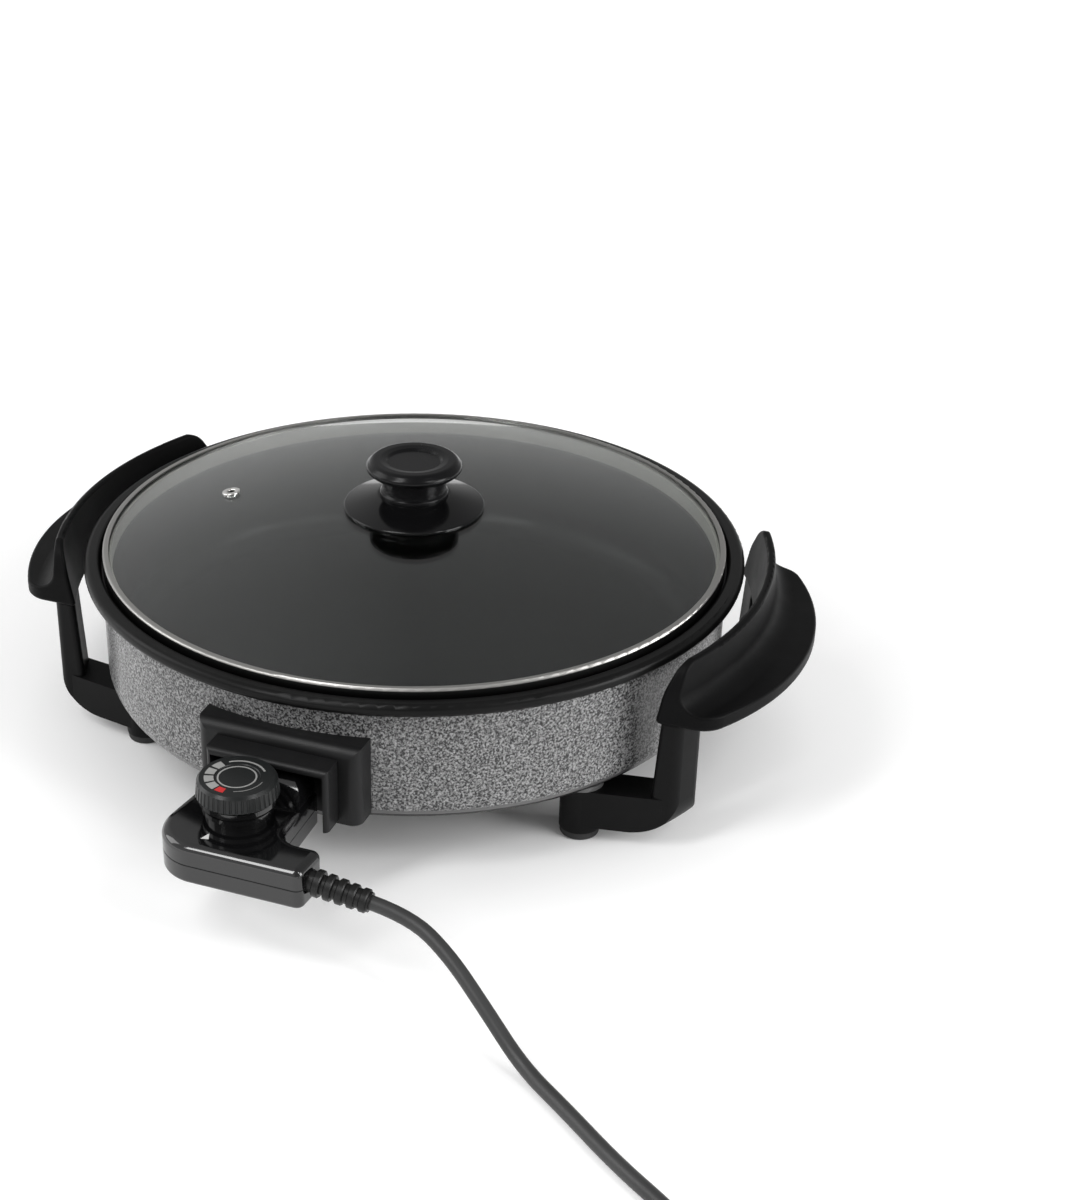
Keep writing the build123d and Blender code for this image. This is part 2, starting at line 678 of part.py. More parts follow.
def coil_wire():
    """Two layers of turns, in along the table and out again on top."""
    total = 2 * COIL_FLAT_TURNS + 0.5
    quarters = round(total * 4)
    turns = [total * i / quarters for i in range(quarters + 1)]
    points = [coil_point(t) for t in turns]
    dirs = [coil_tangent(t) for t in turns]
    lead = 2 * CORD_R
    edges = [Line(points[0] - dirs[0] * lead, points[0])]
    for i in range(quarters):
        edges += biarc(points[i], dirs[i], points[i + 1], dirs[i + 1])
    edges.append(Line(points[-1], points[-1] + dirs[-1] * lead))
    return Wire([e for part in edges for e in part.edges()])


def swept_tube(path, radius):
    """Round tube along a wire, with its volume compared to section times length."""
    start = Plane(path @ 0, z_dir=path % 0)
    tube = sweep(start * Circle(radius), path=path)
    expected = math.pi * radius**2 * path.length
    print(f"tube {path.length:.0f} mm, volume share {tube.volume / expected:.4f}")
    return tube


def least_gap(path, radius):
    """Least gap of a wound tube to itself, measured on points along it."""
    step = 2.5
    count = int(path.length / step)
    points = [path.position_at(i / count) for i in range(count + 1)]
    skip = int(70 / step)
    pairs = ((points[i], points[j]) for i in range(count) for j in range(i + skip, count + 1))
    return min((there - here).length for here, there in pairs) - 2 * radius


def route_radii(points):
    """Largest bend radius that each corner of the route allows."""
    radii = []
    for before, here, after in zip(points, points[1:], points[2:]):
        run_in, run_out = here - before, after - here
        half_turn = math.radians(run_in.get_angle(run_out)) / 2
        radii.append(0.45 * min(run_in.length, run_out.length) / math.tan(half_turn))
    return radii


def cord_wire():
    """Free stretch of the cord, from the strain relief to the coil."""
    coil_in = coil_wire() @ 0
    points = [relief_end()] + [Vector(*p) for p in CORD_ROUTE]
    points += [coil_in - coil_tangent(0) * 26, coil_in]
    radii = route_radii(points)
    print("cord radii", [round(r) for r in radii])
    return FilletPolyline(*points, radius=radii).wire()


def coil_tie():
    """Flat strap round the bundle of turns."""
    inner_r = COIL_OUT_R - COIL_PITCH * COIL_FLAT_TURNS
    mid_r = (COIL_OUT_R + inner_r) / 2
    width = COIL_OUT_R - inner_r + 2 * CORD_R + 1.2
    low = COIL_BASE_Z - CORD_R - 0.3
    high = COIL_BASE_Z + COIL_LAYER + CORD_R + 0.4
    strap = box((mid_r - width / 2 - 1, mid_r + width / 2 + 1), (-4, 4), (low - 1, high + 1))
    strap = fillet(strap.edges().filter_by(Axis.Y), 3)
    hollow = box((mid_r - width / 2, mid_r + width / 2), (-5, 5), (low, high))
    hollow = fillet(hollow.edges().filter_by(Axis.Y), 2)
    return Pos(*COIL_CENTRE, 0) * Rot(0, 0, COIL_START_DEG + 170) * (strap - hollow)


def plug_plane():
    """Plane at the back of the plug, its Z along the pins."""
    wire = coil_wire()
    return Plane(wire @ 1, x_dir=(0, 0, 1), z_dir=wire % 1)


def plug_body():
    """Earthed mains plug with a waisted grip and side grooves for the earth contacts."""
    outline = [
        (0, 0),
        (5.4, 0),
        (6.2, 12),
        (11.5, 18),
        (13.0, 26),
        (11.8, 32),
        (PLUG_R - 0.6, 40),
        (PLUG_R, 44),
        (PLUG_R - 0.3, PLUG_L),
        (0, PLUG_L),
    ]
    rounds = [(outline[3], 3), (outline[4], 4), (outline[5], 4), (outline[7], 2), (outline[8], 1.5)]
    body = turned(outline, rounds)
    for side in (1, -1):
        body -= box(sorted((side * 14.6, side * 22)), (-3.6, 3.6), (46, PLUG_L + 1))
    return plug_plane() * body


def plug_pins():
    """Two round pins with domed tips."""
    pins = []
    for side in (1, -1):
        pin = rod(PLUG_PIN_R, (PLUG_L, PLUG_L + PLUG_PIN_L), (0, side * 9.5))
        pin = fillet(pin.edges().sort_by(Axis.Z)[-1], 1.6)
        pins.append(plug_plane() * pin)
    return Compound(children=pins)


def plug_earth():
    """Sprung earth contacts in the plug's side grooves."""
    clips = []
    for side in (1, -1):
        clip = box(sorted((side * 14.6, side * 15.4)), (-2.6, 2.6), (46, PLUG_L - 1))
        clips.append(plug_plane() * clip)
    return Compound(children=clips)


def dial_knob():
    """Fluted, slightly tapered dial with a chamfered face and a recessed centre."""
    low, top = DIAL_Z
    foot_r, face_r = DIAL_R
    outline = [
        (0, low),
        (foot_r - 0.8, low),
        (foot_r, low + 1),
        (face_r, top - 1.6),
        (face_r - 1.4, top),
        (12.4, top),
        (12.0, top - 0.5),
        (0, top - 0.5),
    ]
    lean = math.degrees(math.atan2(foot_r - face_r, top - low))
    flute = Pos((foot_r + face_r) / 2 + 0.3, 0, (low + top) / 2 - 1.5) * Rot(0, -lean, 0)
    flute = flute * Cylinder(FLUTE_R, top - low)
    cutters = [Rot(0, 0, 360 * i / DIAL_FLUTES) * flute for i in range(DIAL_FLUTES)]
    return Pos(*DIAL_XY) * (turned(outline) - cutters)


def dial_spindle():
    """Shaft from the dial into the switch block's top."""
    return rod(SPINDLE_R, (61, DIAL_Z[0]), DIAL_XY)


save(pan_shell(), "pan_shell")
save(element_tube(ELEMENT_TUBE_R), "heating_element")
save(handle(1), "handle_right")
save(handle(-1), "handle_left")
for index, (_, _, foot_place) in enumerate(four_feet(), start=1):
    save(foot_pad(foot_place), f"foot_pad_{index}")
save(handle_screws(), "handle_screws")
save(socket_shroud(), "socket_shroud")
save(shroud_screws(), "shroud_screws")
save(terminal_pin(1), "terminal_pin_right")
save(terminal_pin(-1), "terminal_pin_left")
save(earth_blade(), "earth_blade")

save(lid_glass(), "lid_glass")
save(lid_rim(), "lid_rim")
save(steam_vent(), "steam_vent")
save(knob_skirt(), "knob_skirt")
save(lid_knob(), "lid_knob")
save(knob_washer(), "knob_washer")
save(knob_screw(), "knob_screw")

save(control_upper(), "control_upper")
save(control_lower(), "control_lower")
save(control_screws(), "control_screws")
save(contact_block(), "contact_block")
save(contact_sleeve(1), "contact_sleeve_right")
save(contact_sleeve(-1), "contact_sleeve_left")
save(sensor_stem(), "sensor_stem")
save(thermostat_body(), "thermostat_body")
save(strain_relief(), "strain_relief")
save(swept_tube(cord_wire(), CORD_R), "cord")
save(swept_tube(coil_wire(), CORD_R), "cord_coil")
print(f"coil least gap {least_gap(coil_wire(), CORD_R):.2f} mm")
save(coil_tie(), "coil_tie")
save(plug_body(), "plug_body")
save(plug_pins(), "plug_pins")
save(plug_earth(), "plug_earth")

save(dial_knob(), "dial_knob")
save(dial_spindle(), "dial_spindle")
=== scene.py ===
# %% [markdown]
# # A round electric frying pan, dressed for a studio picture
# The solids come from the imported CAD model: the cast pan, its lid, the moulded handles and the
# plug-in control. This file gives each of them its finish, lays the mains cord, prints the dial,
# and sets the camera, the floor and the light.
# The solids' meshes stay as they are, because the moving model collides with the same shapes.

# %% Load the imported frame
import math

import bmesh
import bpy
from mathutils import Matrix, Vector


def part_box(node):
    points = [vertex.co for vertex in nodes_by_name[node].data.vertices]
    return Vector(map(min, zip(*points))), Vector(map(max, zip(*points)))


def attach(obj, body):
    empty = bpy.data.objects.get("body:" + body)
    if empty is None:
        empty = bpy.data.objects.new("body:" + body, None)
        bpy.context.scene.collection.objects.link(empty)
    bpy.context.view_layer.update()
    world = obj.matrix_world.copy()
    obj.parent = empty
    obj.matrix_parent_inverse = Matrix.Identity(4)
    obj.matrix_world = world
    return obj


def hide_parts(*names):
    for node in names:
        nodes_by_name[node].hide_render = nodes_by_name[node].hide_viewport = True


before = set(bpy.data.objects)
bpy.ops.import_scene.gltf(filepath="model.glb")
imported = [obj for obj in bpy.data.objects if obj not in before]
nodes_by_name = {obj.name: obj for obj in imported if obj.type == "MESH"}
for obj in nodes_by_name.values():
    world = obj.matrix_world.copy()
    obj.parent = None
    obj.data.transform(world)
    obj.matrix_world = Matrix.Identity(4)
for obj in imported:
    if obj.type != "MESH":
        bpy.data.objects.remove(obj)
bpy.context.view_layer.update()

scene = bpy.context.scene

# %% [markdown]
# ## Camera
# The picture was taken from a little above the lid, with a long lens, and the pan sits left of
# the middle. A camera could be aimed by a constraint, but here the pan's own lip fixes the view:
# its ellipse gives the height of the eye, and the two handles give the turn.
# The lens shift holds the lip where it is in the frame, so that no line of the pan leans.

# %% Where the eye stands
LIP_HEIGHT = 0.118
EYE_TURN = math.radians(22.0)
EYE_RISE = math.radians(29.76)
EYE_DISTANCE = 1.3
AIM_RIGHT, AIM_UP = -0.0025, -0.0804

eye_right = Vector((math.cos(EYE_TURN), math.sin(EYE_TURN), 0))
eye_back = Vector((
    math.sin(EYE_TURN) * math.cos(EYE_RISE),
    -math.cos(EYE_TURN) * math.cos(EYE_RISE),
    math.sin(EYE_RISE),
))
eye_up = eye_back.cross(eye_right)
eye = (Vector((0, 0, LIP_HEIGHT)) + eye_back * EYE_DISTANCE
       + eye_right * AIM_RIGHT + eye_up * AIM_UP)
print("eye at", [round(v, 3) for v in eye])


# %% Set the camera
def add_object(name, data):
    """New object in the scene."""
    made = bpy.data.objects.new(name, data)
    scene.collection.objects.link(made)
    return made


LENS_MM, SENSOR_MM = 64.02, 36.0
SHIFT_RIGHT, SHIFT_UP = 0.10625, 0.06
FAR_CLIP = 50
camera_data = bpy.data.cameras.new("studio_camera")
camera_data.lens = LENS_MM
camera_data.sensor_width = SENSOR_MM
camera_data.shift_x, camera_data.shift_y = SHIFT_RIGHT, SHIFT_UP
camera_data.clip_end = FAR_CLIP
camera = add_object("studio_camera", camera_data)
eye_axes = Matrix((eye_right, eye_up, eye_back)).transposed().to_4x4()
camera.matrix_world = Matrix.Translation(eye) @ eye_axes
scene.camera = camera
print("camera with a lens of", LENS_MM, "mm")

# %% [markdown]
# ## Mains cord
# A rubber lead leaves the control through its ribbed sleeve, drops to the table and runs off to
# the front right. What the picture doesn't show is wound into a small coil, with the plug beside
# it. A chain of straight tubes would show its corners, so one NURBS curve with a round bevel does
# all of it, the coil's turns too: a lead has no corners and keeps its thickness.

# %% Route of the lead
CORD_RADIUS = 0.004
CORD_EXIT = (0.083774, -0.2675, 0.049338)
lead_points = [
    CORD_EXIT,
    (0.106, -0.2675, 0.0462),
    (0.131, -0.2785, 0.037),
    (0.156, -0.293, 0.021),
    (0.182, -0.309, 0.004),
    (0.212, -0.331, 0.004),
    (0.245, -0.357, 0.004),
    (0.281, -0.380, 0.004),
    (0.31265, -0.40893, 0.0054),
]
print("lead points", len(lead_points))

# %% Turns of the coil
COIL_MIDDLE = (0.272, -0.455)
COIL_RADIUS = 0.05
COIL_PITCH = 0.010
COIL_LAYER = 0.0087
COIL_LOW = 0.0054
COIL_START = math.radians(15)
COIL_FLAT_TURNS = 1.25
COIL_CLIMB_TURNS = 0.5
COIL_LIFT_TURNS = 0.5
COIL_TURNS = 2 * COIL_FLAT_TURNS + COIL_CLIMB_TURNS
POINTS_A_TURN = 18
PLUG_AXIS_HEIGHT = 0.0184
PLUG_ENTRY = (0.322636, -0.449709, 0.018401)


def eased(share):
    """Smooth step from 0 to 1."""
    share = min(1.0, max(0.0, share))
    return share * share * (3 - 2 * share)


def coil_place(turns):
    """Point after so many turns: in on the table, up one layer, and out again on top."""
    climbed = eased((turns - COIL_FLAT_TURNS) / COIL_CLIMB_TURNS)
    wound_in = min(turns, COIL_FLAT_TURNS)
    wound_out = max(0.0, turns - COIL_FLAT_TURNS - COIL_CLIMB_TURNS)
    lifted = eased((wound_out - COIL_FLAT_TURNS + COIL_LIFT_TURNS) / COIL_LIFT_TURNS)
    to_plug = PLUG_AXIS_HEIGHT - COIL_LOW - COIL_LAYER
    height = COIL_LOW + COIL_LAYER * climbed + to_plug * lifted
    radius = COIL_RADIUS - COIL_PITCH * wound_in + COIL_PITCH * wound_out
    angle = COIL_START - 2 * math.pi * turns
    return (COIL_MIDDLE[0] + radius * math.cos(angle),
            COIL_MIDDLE[1] + radius * math.sin(angle), height)


coil_steps = round(COIL_TURNS * POINTS_A_TURN)
coil_points = [coil_place(COIL_TURNS * step / coil_steps) for step in range(coil_steps + 1)]
cord_points = [*lead_points, *coil_points, PLUG_ENTRY]
print("coil points", len(coil_points), "of", len(cord_points))

# %% Curve of the cord
# The bevel's radius is 1 m, which each point's own radius brings down to the lead's.
cord_curve = bpy.data.curves.new("mains_cord", "CURVE")
cord_curve.dimensions = "3D"
cord_curve.bevel_depth = 1.0
cord_curve.bevel_resolution = 5
cord_curve.resolution_u = 6
cord_curve.use_fill_caps = True
cord_spline = cord_curve.splines.new("NURBS")
cord_spline.points.add(len(cord_points) - 1)
for spline_point, place in zip(cord_spline.points, cord_points):
    spline_point.co = (*place, 1)
    spline_point.radius = CORD_RADIUS
cord_spline.order_u = 3
cord_spline.use_endpoint_u = True
mains_cord = add_object("mains_cord", cord_curve)
print("cord's spline", len(cord_spline.points), "points")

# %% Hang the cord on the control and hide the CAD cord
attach(mains_cord, "control")
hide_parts("cord", "cord_coil")

# %% [markdown]
# ## Shared effects
# Pictures of the surfaces could carry their detail, but noise needs no file and no unwrapping, so
# each effect is a node group with named sockets, which can be tried by itself.
# Moulded grain is the fine pebble of a plastic tool, with a slow change of gloss where hands and
# cloths have been. Most of the finishes below use it, each at its own scale.
# Hammered tone is the mottle of hammered paint: pale worms of pigment with dark gaps.
# Turning lines are the fine rings that a spinning tool leaves round an axis.


# %% Moulded grain
def add_node(tree, kind, **settings):
    """Add a node and set its properties, with sockets given as in_NAME."""
    node = tree.nodes.new(kind)
    for key, value in settings.items():
        if key.startswith("in_"):
            socket = key.removeprefix("in_").replace("_", " ")
            node.inputs[socket].default_value = value
        else:
            setattr(node, key, value)
    return node


def ranged(tree, value, low, high, to_low=0.0, to_high=1.0):
    """Map Range node, clamped: low becomes to_low, and high becomes to_high."""
    node = add_node(tree, "ShaderNodeMapRange", in_From_Min=low, in_From_Max=high,
                    in_To_Min=to_low, in_To_Max=to_high)
    tree.links.new(value, node.inputs["Value"])
    return node.outputs["Result"]


def new_group(name, inputs, outputs):
    """Shader node group: inputs with their plain values (a vector has none), value outputs."""
    group = bpy.data.node_groups.new(name, "ShaderNodeTree")
    for socket, default in inputs.items():
        kind = "NodeSocketVector" if default is None else "NodeSocketFloat"
        made = group.interface.new_socket(socket, in_out="INPUT", socket_type=kind)
        if default is not None:
            made.default_value = default
    for socket in outputs:
        group.interface.new_socket(socket, in_out="OUTPUT", socket_type="NodeSocketFloat")
    return group, group.nodes.new("NodeGroupInput"), group.nodes.new("NodeGroupOutput")


SMEAR_SPAN = (0.3, 0.7)
grain_group, grain_in, grain_out = new_group(
    "moulded_grain", {"Vector": None, "Pebble": 2200.0, "Smudge": 35.0}, ("Height", "Smear"))
pebble = add_node(grain_group, "ShaderNodeTexNoise", in_Detail=2.0, in_Roughness=0.55)
smudge = add_node(grain_group, "ShaderNodeTexNoise", in_Detail=4.0, in_Roughness=0.6)
for noise, scale in ((pebble, "Pebble"), (smudge, "Smudge")):
    grain_group.links.new(grain_in.outputs["Vector"], noise.inputs["Vector"])
    grain_group.links.new(grain_in.outputs[scale], noise.inputs["Scale"])
grain_group.links.new(pebble.outputs["Fac"], grain_out.inputs["Height"])
smear_tone = ranged(grain_group, smudge.outputs["Fac"], *SMEAR_SPAN)
grain_group.links.new(smear_tone, grain_out.inputs["Smear"])
print("moulded grain", len(grain_group.nodes), "nodes")


# %% Hammered tone
def math_node(tree, operation, first, second=None):
    """Math node fed by sockets or plain numbers."""
    node = add_node(tree, "ShaderNodeMath", operation=operation)
    for index, value in enumerate((first, second)):
        if isinstance(value, (int, float)):
            node.inputs[index].default_value = value
        elif value is not None:
            tree.links.new(value, node.inputs[index])
    return node.outputs[0]


WORM_SPAN, WORM_SHARE = (0.34, 0.66), 0.68
FLECK_SPAN, FLECK_SHARE = (0.62, 0.12), 0.32
FLECK_FINENESS = 1.15
hammer_group, hammer_in, hammer_out = new_group(
    "hammered_tone", {"Vector": None, "Scale": 750.0}, ("Tone", "Height"))
worms = add_node(hammer_group, "ShaderNodeTexNoise", in_Detail=1.2, in_Roughness=0.55,
                 in_Distortion=0.35)
flecks = add_node(hammer_group, "ShaderNodeTexVoronoi", feature="SMOOTH_F1", in_Smoothness=0.35)
for texture, fineness in ((worms, 1.0), (flecks, FLECK_FINENESS)):
    texture_scale = math_node(hammer_group, "MULTIPLY", hammer_in.outputs["Scale"], fineness)
    hammer_group.links.new(hammer_in.outputs["Vector"], texture.inputs["Vector"])
    hammer_group.links.new(texture_scale, texture.inputs["Scale"])
worm_tone = ranged(hammer_group, worms.outputs["Fac"], *WORM_SPAN)
fleck_tone = ranged(hammer_group, flecks.outputs["Distance"], *FLECK_SPAN)
mottle = math_node(hammer_group, "ADD",
                   math_node(hammer_group, "MULTIPLY", worm_tone, WORM_SHARE),
                   math_node(hammer_group, "MULTIPLY", fleck_tone, FLECK_SHARE))
hammer_group.links.new(mottle, hammer_out.inputs["Tone"])
hammer_group.links.new(worm_tone, hammer_out.inputs["Height"])
print("hammered tone", len(hammer_group.nodes), "nodes")

# %% Turning lines
lines_group, lines_in, lines_out = new_group(
    "turning_lines", {"Radius": 0.0, "Density": 2500.0}, ("Line",))
line_count = math_node(lines_group, "MULTIPLY", lines_in.outputs["Radius"],
                       lines_in.outputs["Density"])
line_place = add_node(lines_group, "ShaderNodeCombineXYZ")
line_noise = add_node(lines_group, "ShaderNodeTexNoise", in_Scale=1.0, in_Detail=2.0)
lines_group.links.new(line_count, line_place.inputs["X"])
lines_group.links.new(line_place.outputs[0], line_noise.inputs["Vector"])
lines_group.links.new(line_noise.outputs["Fac"], lines_out.inputs["Line"])
print("turning lines", len(lines_group.nodes), "nodes")

# %% [markdown]
# ## Cast pan
# The outside wall has hammered grey paint, and the lip and the inside have a black non-stick coat.
# Two materials would need the casting's mesh cut in two, so one material paints by place: what is
# high, or inside the wall, is black, and so is the wall under the socket's hood, as painted shade
# in the hood's recess.
# The paint runs smooth round the foot of the wall, where the casting was wiped, and a clear
# lacquer lies over it, which is the shader's coat.


# %% Start the pan's finish
def new_finish(name, color, roughness, metallic=0.0):
    """Material with plain values for the nodes to refine, and its Object coordinates."""
    material = bpy.data.materials.new(name)
    material.use_nodes = True
    tree = material.node_tree
    shader = tree.nodes["Principled BSDF"]
    shader.inputs["Base Color"].default_value = (*color, 1)
    shader.inputs["Roughness"].default_value = roughness
    shader.inputs["Metallic"].default_value = metallic
    place = tree.nodes.new("ShaderNodeTexCoord").outputs["Object"]
    return material, tree, shader, place


def axes_of(tree, place):
    """The three coordinates of a place socket."""
    parts = add_node(tree, "ShaderNodeSeparateXYZ")
    tree.links.new(place, parts.inputs[0])
    return parts.outputs


def radius_of(tree, axes):
    """Distance from the Z axis."""
    squares = [math_node(tree, "MULTIPLY", axis, axis) for axis in axes[:2]]
    return math_node(tree, "SQRT", math_node(tree, "ADD", *squares))


PAN_GREY, PAN_ROUGHNESS = (0.2, 0.2, 0.2), 0.4
pan_paint, tree, shader, place = new_finish(
    "hammered_paint_and_nonstick", PAN_GREY, PAN_ROUGHNESS)
pan_axes = axes_of(tree, place)
pan_radius, pan_height = radius_of(tree, pan_axes), pan_axes[2]
print("pan's finish begun with", len(tree.nodes), "nodes")


# %% Where the black coat and the painted shade under the hood lie
def all_of(tree, *masks):
    """Product of masks: 1 only where each of them is 1."""
    product = masks[0]
    for mask in masks[1:]:
        product = math_node(tree, "MULTIPLY", product, mask)
    return product


LIP_LOW = 0.1094
WALL_MIDDLE = 0.1871
FLOOR_MIDDLE = 0.039
HOOD_HALF_WIDTH = 0.0465
HOOD_LOW, HOOD_HIGH = 0.0445, 0.0905
FRONT_OF_WALL = -0.18
above_lip = math_node(tree, "GREATER_THAN", pan_height, LIP_LOW)
inside = all_of(
    tree,
    math_node(tree, "LESS_THAN", pan_radius, WALL_MIDDLE),
    math_node(tree, "GREATER_THAN", pan_height, FLOOR_MIDDLE),
)
# Under the socket's hood the wall is painted black: painted shade in the hood's recess.
hood_recess_shade = all_of(
    tree,
    math_node(tree, "LESS_THAN", math_node(tree, "ABSOLUTE", pan_axes[0]), HOOD_HALF_WIDTH),
    math_node(tree, "LESS_THAN", pan_axes[1], FRONT_OF_WALL),
    math_node(tree, "GREATER_THAN", pan_height, HOOD_LOW),
    math_node(tree, "LESS_THAN", pan_height, HOOD_HIGH),
)
inside_and_hood_shade = math_node(tree, "MAXIMUM", inside, hood_recess_shade)
coat_and_hood_shade = math_node(tree, "MAXIMUM", above_lip, inside_and_hood_shade)
print("coat placed with", len(tree.nodes), "nodes")

# %% Tone of the hammered paint
PAINT_GAP = (0.16, (0.018, 0.018, 0.019))
PAINT_BODY = (0.44, (0.148, 0.148, 0.149))
PAINT_FLAKE = (0.9, (0.38, 0.38, 0.38))
hammer = add_node(tree, "ShaderNodeGroup", node_tree=hammer_group)
tree.links.new(place, hammer.inputs["Vector"])
hammer_tone = hammer.outputs["Tone"]
paint_ramp = add_node(tree, "ShaderNodeValToRGB")
stops = paint_ramp.color_ramp.elements
for stop, (position, tone) in ((stops[0], PAINT_GAP), (stops[1], PAINT_FLAKE)):
    stop.position = position
    stop.color = (*tone, 1)
stops.new(PAINT_BODY[0]).color = (*PAINT_BODY[1], 1)
tree.links.new(hammer_tone, paint_ramp.inputs["Fac"])
print("paint stops", [round(stop.position, 2) for stop in stops])


# %% Tone of the coat and the foot
def blended(tree, factor, first, second):
    """Mix two colours by a factor socket. Colours are inputs 6 and 7 and output 2."""
    node = add_node(tree, "ShaderNodeMix", data_type="RGBA")
    tree.links.new(factor, node.inputs["Factor"])
    for socket, value in ((node.inputs[6], first), (node.inputs[7], second)):
        if isinstance(value, tuple):
            socket.default_value = (*value, 1)
        else:
            tree.links.new(value, socket)
    return node.outputs[2]


def grained(tree, place, pebble_scale, smudge_scale):
    """Moulded grain group on a place socket."""
    node = add_node(tree, "ShaderNodeGroup", node_tree=grain_group)
    tree.links.new(place, node.inputs["Vector"])
    node.inputs["Pebble"].default_value = pebble_scale
    node.inputs["Smudge"].default_value = smudge_scale
    return node.outputs["Height"], node.outputs["Smear"]


COAT_PEBBLE, COAT_SMUDGE = 1500.0, 25.0
COAT_TONES = ((0.004, 0.004, 0.004), (0.007, 0.007, 0.007))
FOOT_TONE = (0.10, 0.10, 0.10)
FOOT_BAND_TOP, FOOT_BAND_FADE = 0.0458, 0.0012
coat_height, coat_smear = grained(tree, place, COAT_PEBBLE, COAT_SMUDGE)
coat_color = blended(tree, coat_smear, *COAT_TONES)
smooth_foot = ranged(tree, pan_height, FOOT_BAND_TOP, FOOT_BAND_TOP - FOOT_BAND_FADE)
wall_color = blended(tree, smooth_foot, paint_ramp.outputs["Color"], FOOT_TONE)
pan_color = blended(tree, coat_and_hood_shade, wall_color, coat_color)
tree.links.new(pan_color, shader.inputs["Base Color"])
print("pan toned with", len(tree.nodes), "nodes")


# %% Gloss and relief of the pan
def mixed(tree, factor, first, second):
    """Mix two values by a factor socket. Values are inputs 2 and 3 and output 0."""
    node = add_node(tree, "ShaderNodeMix", data_type="FLOAT")
    tree.links.new(factor, node.inputs["Factor"])
    tree.links.new(first, node.inputs[2])
    tree.links.new(second, node.inputs[3])
    return node.outputs[0]


def bumped(tree, shader, height, strength, distance):
    """Bump node from a height socket into the shader's normal."""
    bump = add_node(tree, "ShaderNodeBump", in_Strength=strength, in_Distance=distance)
    tree.links.new(height, bump.inputs["Height"])
    tree.links.new(bump.outputs["Normal"], shader.inputs["Normal"])


def dress(material, *names):
    """Give CAD nodes a material."""
    for name in names:
        mesh = nodes_by_name[name].data
        mesh.materials.clear()
        mesh.materials.append(material)


PAINT_GLOSS, COAT_GLOSS = (0.5, 0.34), (0.28, 0.36)
PAINT_LACQUER, LACQUER_ROUGHNESS = 0.7, 0.22
PAN_SPECULAR = 0.12
PAN_RELIEF, PAN_DEPTH = 0.5, 0.0003
COAT_RELIEF = 0.08
paint_gloss = ranged(tree, hammer_tone, 0, 1, *PAINT_GLOSS)
coat_gloss = ranged(tree, coat_smear, 0, 1, *COAT_GLOSS)
pan_gloss = mixed(tree, coat_and_hood_shade, paint_gloss, coat_gloss)
tree.links.new(pan_gloss, shader.inputs["Roughness"])
lacquer = ranged(tree, coat_and_hood_shade, 0, 1, PAINT_LACQUER, 0.0)
tree.links.new(lacquer, shader.inputs["Coat Weight"])
shader.inputs["Coat Roughness"].default_value = LACQUER_ROUGHNESS
shader.inputs["Specular IOR Level"].default_value = PAN_SPECULAR
rough_wall = math_node(tree, "SUBTRACT", 1.0, smooth_foot)
wall_relief = math_node(tree, "MULTIPLY", hammer.outputs["Height"], rough_wall)
coat_relief = math_node(tree, "MULTIPLY", coat_height, COAT_RELIEF)
pan_relief = mixed(tree, coat_and_hood_shade, wall_relief, coat_relief)
bumped(tree, shader, pan_relief, PAN_RELIEF, PAN_DEPTH)
dress(pan_paint, "pan_shell")
print("pan painted with", len(tree.nodes), "nodes")

# %% [markdown]
# ## Black plastics
# The handles, the socket and the lid's knob are satin phenolic. The control and the skirt under
# the knob are glossy. Each could be a flat black, but real mouldings have a fine pebble, and gloss
# that changes where they are handled. Glossy and satin differ mostly in how wide the highlight is,
# so one function makes both from two roughness values.
# The handles' grips are matt, a thin coat makes their legs satin, and the seam round the control
# is dull. Height tells where each of them lies.


# %% Satin phenolic
def plastic_finish(name, tones, gloss, pebble_scale, relief, specular=0.5):
    """Moulded plastic: dark and light tones, matt and shiny roughness, and its pebble."""
    material, tree, shader, place = new_finish(name, tones[0], gloss[0])
    shader.inputs["Specular IOR Level"].default_value = specular
    height, smear = grained(tree, place, pebble_scale, HAND_SMUDGE)
    tree.links.new(blended(tree, smear, *tones), shader.inputs["Base Color"])
    tree.links.new(ranged(tree, smear, 0, 1, *gloss), shader.inputs["Roughness"])
    bumped(tree, shader, height, relief, GRAIN_DEPTH)
    return material


HAND_SMUDGE = 30.0
GRAIN_DEPTH = 0.0002
PHENOLIC_PEBBLE = 2600.0
handle_black = plastic_finish(
    "handle_phenolic", tones=((0.0034, 0.0034, 0.0035), (0.005, 0.005, 0.0052)),
    gloss=(0.46, 0.38), pebble_scale=PHENOLIC_PEBBLE, relief=0.12, specular=0.06)
socket_black = plastic_finish(
    "satin_phenolic", tones=((0.007, 0.007, 0.0073), (0.010, 0.010, 0.0104)),
    gloss=(0.44, 0.36), pebble_scale=PHENOLIC_PEBBLE, relief=0.12, specular=0.22)
knob_black = plastic_finish(
    "knob_phenolic", tones=((0.003, 0.003, 0.0034), (0.0045, 0.0045, 0.005)),
    gloss=(0.28, 0.2), pebble_scale=PHENOLIC_PEBBLE, relief=0.05, specular=0.19)
dress(handle_black, "handle_right", "handle_left")
dress(socket_black, "socket_shroud")
dress(knob_black, "lid_knob")
print("phenolic on the handles, the socket and the knob")


# %% Satin legs of the handles
def opened(material):
    """Tree, shader and height socket of a finish that is made already."""
    tree = material.node_tree
    place = tree.nodes["Texture Coordinate"].outputs["Object"]
    return tree, tree.nodes["Principled BSDF"], axes_of(tree, place)[2]


GRIP_LOW = 0.083
LEG_COAT, LEG_COAT_ROUGHNESS = 0.12, 0.42
tree, shader, handle_height = opened(handle_black)
legs = math_node(tree, "LESS_THAN", handle_height, GRIP_LOW)
tree.links.new(ranged(tree, legs, 0, 1, 0.0, LEG_COAT), shader.inputs["Coat Weight"])
shader.inputs["Coat Roughness"].default_value = LEG_COAT_ROUGHNESS
print("legs satin below", GRIP_LOW, "m")

